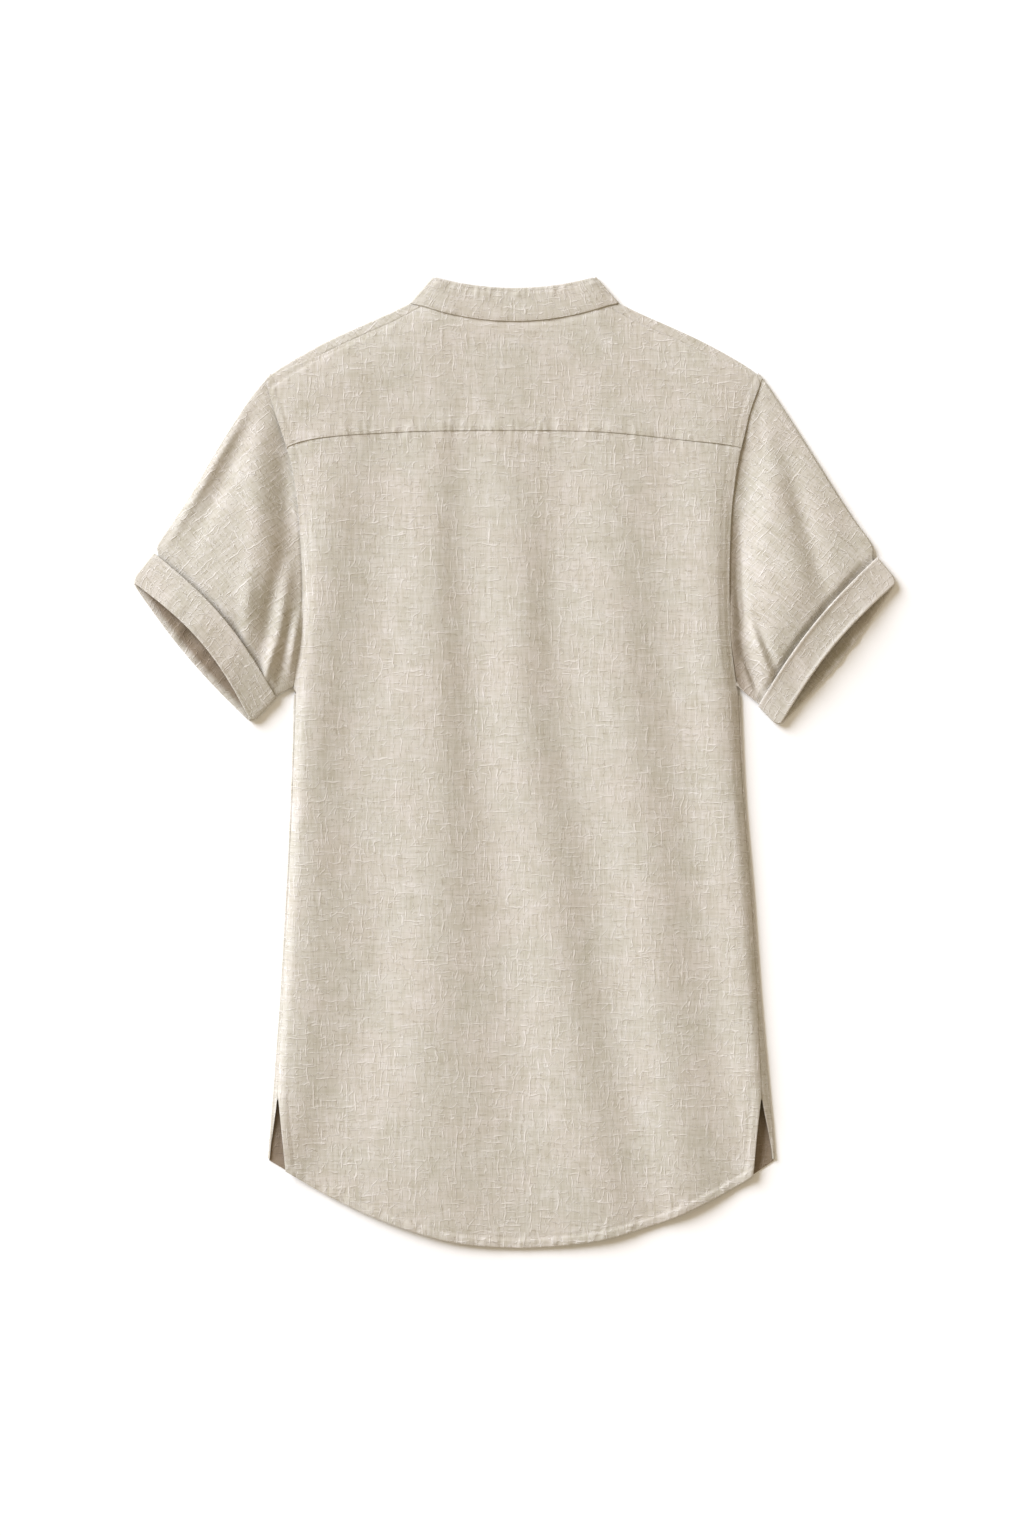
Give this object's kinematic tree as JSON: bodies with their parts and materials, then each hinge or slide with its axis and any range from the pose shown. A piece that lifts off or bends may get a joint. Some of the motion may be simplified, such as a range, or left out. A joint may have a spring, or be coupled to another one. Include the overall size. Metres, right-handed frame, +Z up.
{
  "type": "band-collar short-sleeved shirt laid flat",
  "caption": "Band-collar short-sleeved linen shirt laid flat on its front, back up, with turned-back cuffs and curved hem.",
  "frame": {"origin": "on the surface it lies on, below the middle of its length and width", "axes": "+Z up out of the shirt's back, +Y along its length towards the collar, +X towards its own right sleeve"},
  "size_m": [0.7652, 0.9701, 0.0156],
  "materials": {
    "linen": "matt slubbed linen, warm beige",
    "button": "polished horn-coloured resin"
  },
  "bodies": {
    "root": {"back": "linen", "yoke": "linen", "front": "linen", "collar_band": "linen", "placket_over": "linen", "placket_under": "linen", "sleeve_left": "linen", "sleeve_right": "linen", "cuff_left": "linen", "cuff_right": "linen", "button_collar": "button", "button_1": "button", "button_2": "button", "button_3": "button"}
  },
  "joints": []
}
